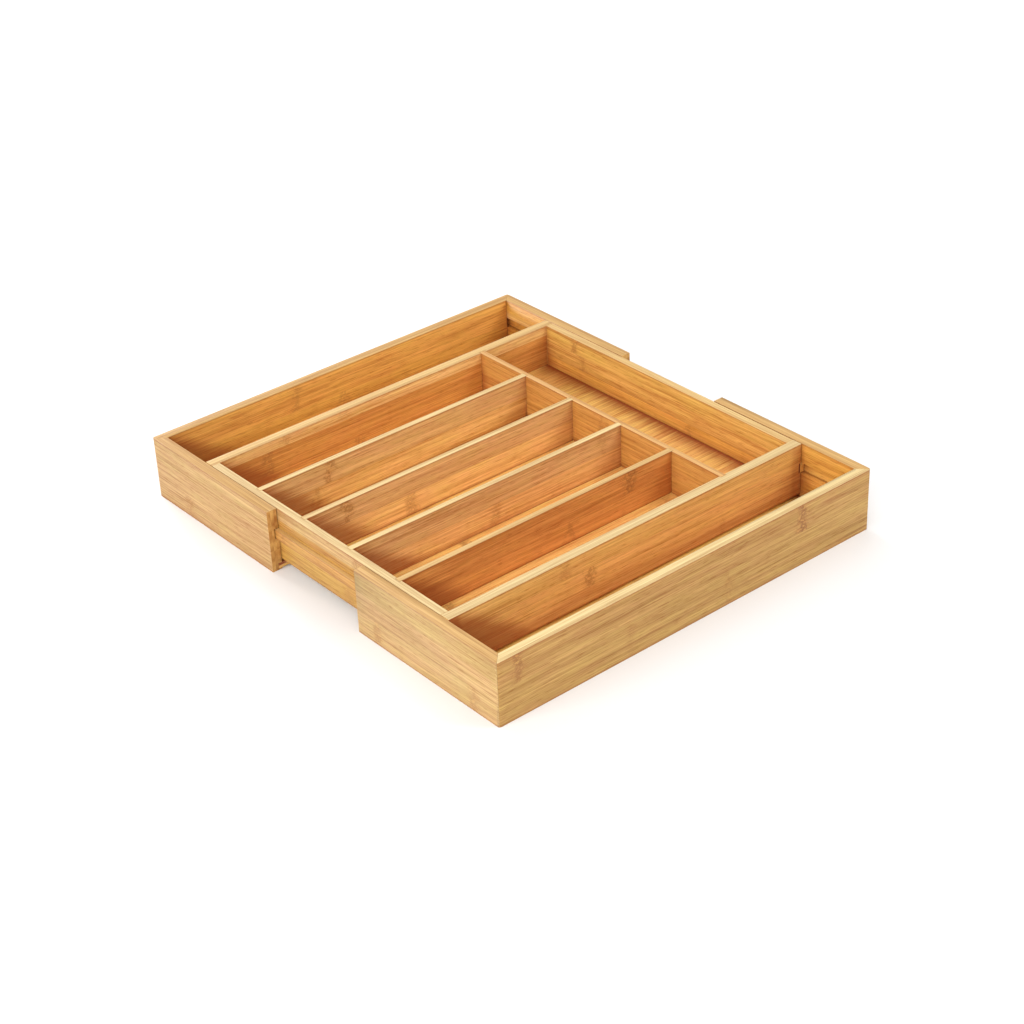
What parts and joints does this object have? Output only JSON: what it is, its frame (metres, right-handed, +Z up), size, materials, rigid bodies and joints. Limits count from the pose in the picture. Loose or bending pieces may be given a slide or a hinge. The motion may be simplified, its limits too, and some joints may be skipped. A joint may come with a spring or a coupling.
{
  "type": "expandable cutlery tray",
  "caption": "Low wooden cutlery tray with long and cross compartments and a U-shaped wing on each side that slides out to widen it.",
  "frame": {"origin": "on the drawer floor, under the middle of the tray", "axes": "+X to the right, the way the right wing slides out; +Y to the back, where the wide compartment is; +Z up"},
  "size_m": [0.4956, 0.43, 0.062],
  "materials": {
    "bamboo_board": "light honey bamboo, thin satin oil",
    "bamboo_divider": "light honey bamboo, thin satin oil",
    "bamboo_panel": "light honey bamboo, thin satin oil",
    "bamboo_strip": "light honey bamboo, thin satin oil"
  },
  "bodies": {
    "tray": {"tray_front_board": "bamboo_board", "tray_back_board": "bamboo_board", "tray_left_side_board": "bamboo_board", "tray_right_side_board": "bamboo_board", "tray_floor": "bamboo_panel", "cross_divider": "bamboo_divider", "long_divider_1": "bamboo_divider", "long_divider_2": "bamboo_divider", "long_divider_3": "bamboo_divider", "long_divider_4": "bamboo_divider", "front_rail": "bamboo_strip", "back_rail": "bamboo_strip"},
    "left_wing": {"left_wing_side_board": "bamboo_board", "left_wing_front_board": "bamboo_board", "left_wing_back_board": "bamboo_board", "left_wing_floor": "bamboo_panel", "left_wing_stop_batten": "bamboo_strip"},
    "right_wing": {"right_wing_side_board": "bamboo_board", "right_wing_front_board": "bamboo_board", "right_wing_back_board": "bamboo_board", "right_wing_floor": "bamboo_panel", "right_wing_stop_batten": "bamboo_strip"}
  },
  "joints": [
    {"name": "left_wing_slide", "type": "slide", "parent": "tray", "child": "left_wing", "axis": [-1, 0, 0], "range_m": [-0.062, 0.038]},
    {"name": "right_wing_slide", "type": "slide", "parent": "tray", "child": "right_wing", "axis": [1, 0, 0], "range_m": [-0.062, 0.038]}
  ]
}
